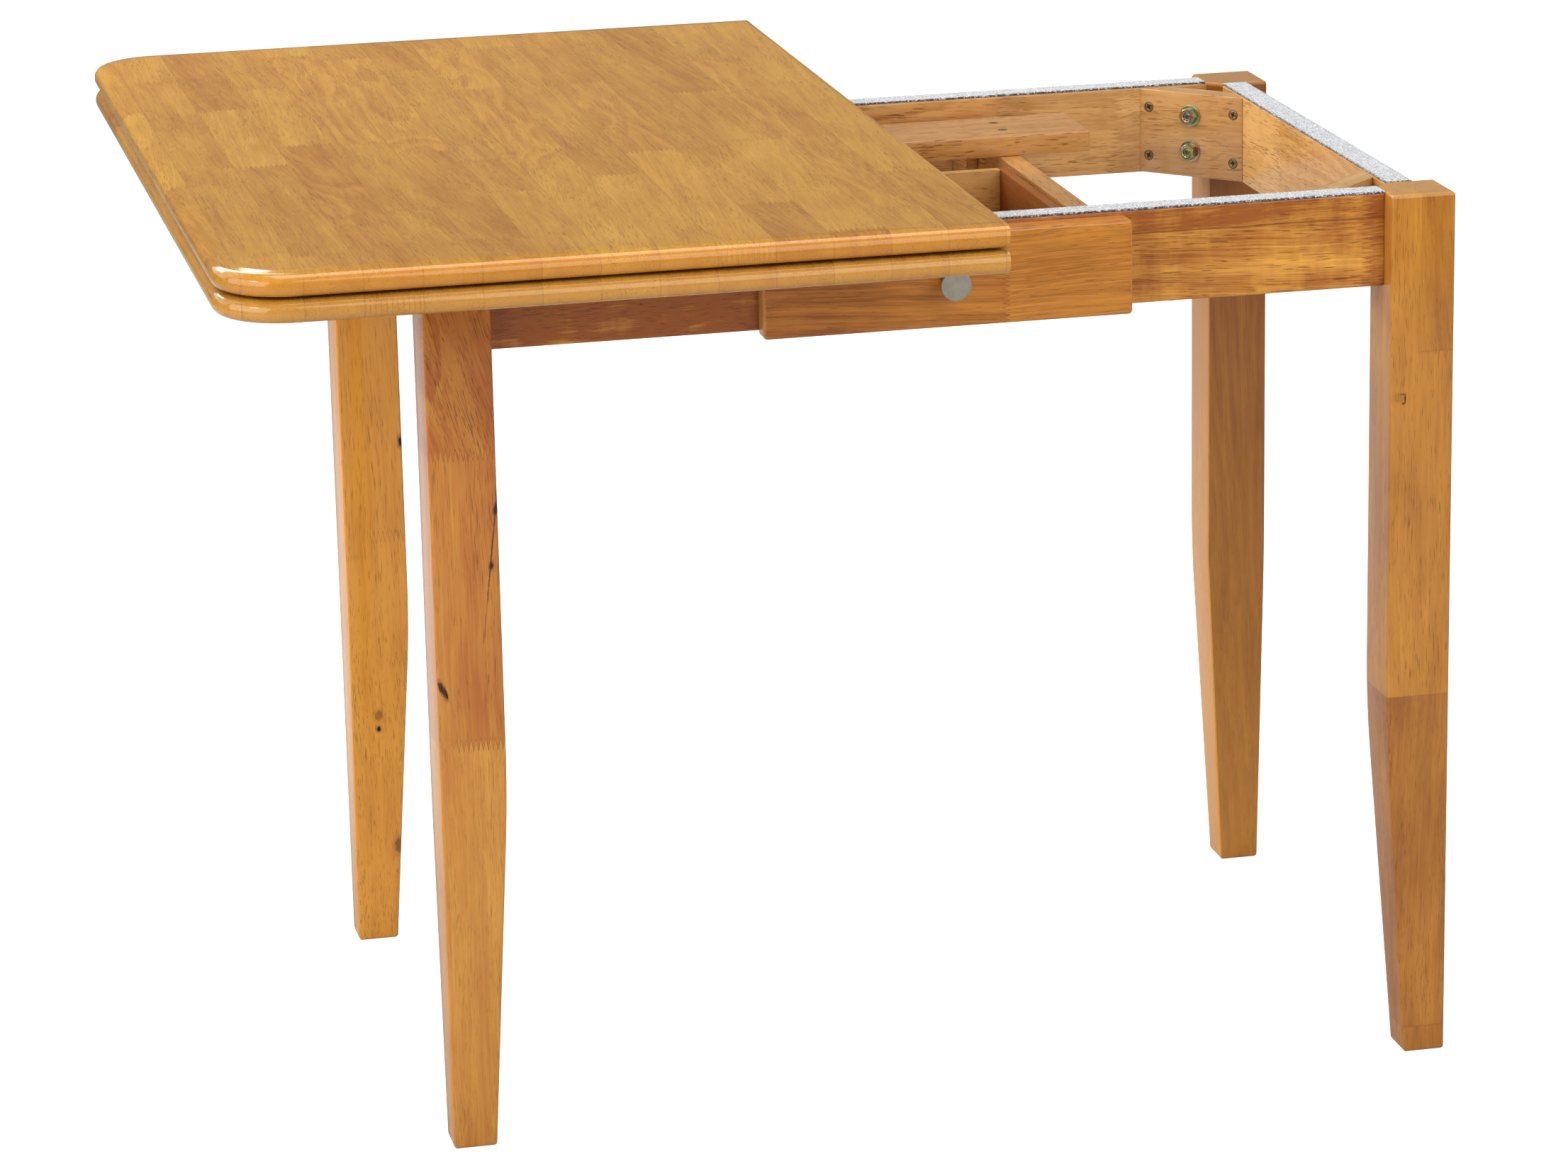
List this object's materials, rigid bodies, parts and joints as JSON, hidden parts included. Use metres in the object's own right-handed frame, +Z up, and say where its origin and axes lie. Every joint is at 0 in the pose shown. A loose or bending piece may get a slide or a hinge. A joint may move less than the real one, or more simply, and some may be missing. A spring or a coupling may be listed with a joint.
{
  "type": "fold-over dining table",
  "caption": "Wooden dining table with tapered legs, a drawer in the front rail and a top that turns a quarter turn and folds out to twice its area.",
  "frame": {"origin": "on the floor, in the middle of the space the table takes with its top turned across the frame and folded shut", "axes": "+X along the drawer rail towards the open end of the frame, +Y from the drawer to the back, +Z up"},
  "size_m": [0.9876, 0.9, 0.75],
  "materials": {
    "leaf_wood": "semi-gloss clear lacquer over finger-jointed rubberwood",
    "leg_wood": "semi-gloss clear lacquer",
    "rail_wood": "semi-gloss clear lacquer",
    "inner_wood": "thin matt lacquer",
    "drawer_wood": "thin satin lacquer",
    "drawer_panel": "thin plywood, sealed",
    "felt": "light grey wool felt",
    "yellow_zinc": "yellow zinc plated",
    "zinc_plate": "bright zinc plated",
    "hinge_brass": "satin brass",
    "satin_nickel": "satin nickel plated",
    "nylon": "plain nylon",
    "soft_dots": "clear soft polymer"
  },
  "bodies": {
    "frame": {"leg_front_left": "leg_wood", "leg_front_right": "leg_wood", "leg_back_left": "leg_wood", "leg_back_right": "leg_wood", "rail_front": "rail_wood", "rail_back": "rail_wood", "rail_left": "rail_wood", "rail_right": "rail_wood", "felt_front": "felt", "felt_back": "felt", "felt_left": "felt", "felt_right": "felt", "corner_block_front_left": "inner_wood", "corner_block_front_right": "inner_wood", "corner_block_back_left": "inner_wood", "corner_block_back_right": "inner_wood", "leg_hanger_bolts": "yellow_zinc", "leg_bolt_washers": "yellow_zinc", "leg_bolt_nuts": "yellow_zinc", "cross_beam_left": "inner_wood", "cross_beam_right": "inner_wood", "beam_glue_blocks": "inner_wood", "drawer_runner_left": "inner_wood", "drawer_runner_right": "inner_wood", "pivot_board": "inner_wood", "swivel_base_plate": "zinc_plate"},
    "top": {"lower_leaf": "leaf_wood", "swivel_top_plate": "zinc_plate", "swivel_rivet": "zinc_plate", "swivel_spacer": "nylon", "turn_stop_dowel": "rail_wood", "leaf_bumpers": "soft_dots", "hinge_plates_lower": "hinge_brass", "hinge_pins_lower": "hinge_brass"},
    "hinge_links": {"hinge_links": "hinge_brass"},
    "folding_leaf": {"upper_leaf": "leaf_wood", "hinge_plates_upper": "hinge_brass", "hinge_pins_upper": "hinge_brass"},
    "drawer": {"drawer_front": "rail_wood", "drawer_side_left": "drawer_wood", "drawer_side_right": "drawer_wood", "drawer_back": "drawer_wood", "drawer_bottom": "drawer_panel", "drawer_turn_button": "drawer_wood", "drawer_knob": "satin_nickel", "drawer_knob_screw": "zinc_plate"}
  },
  "joints": [
    {"name": "top_swivel", "type": "hinge", "parent": "frame", "child": "top", "pos_m": [-0.05875, 0.145, 0.705], "axis": [0, 0, 1], "range_deg": [0, 90]},
    {"name": "link_turn", "type": "hinge", "parent": "top", "child": "hinge_links", "pos_m": [0.08305, 0, 0.7274], "axis": [0, 1, 0], "range_deg": [0, 90]},
    {"name": "leaf_turn", "type": "hinge", "parent": "hinge_links", "child": "folding_leaf", "pos_m": [0.08305, 0, 0.7346], "axis": [0, 1, 0], "range_deg": [0, 90]},
    {"name": "drawer_slide", "type": "slide", "parent": "frame", "child": "drawer", "axis": [0, -1, 0], "range_m": [0, 0.3]}
  ]
}
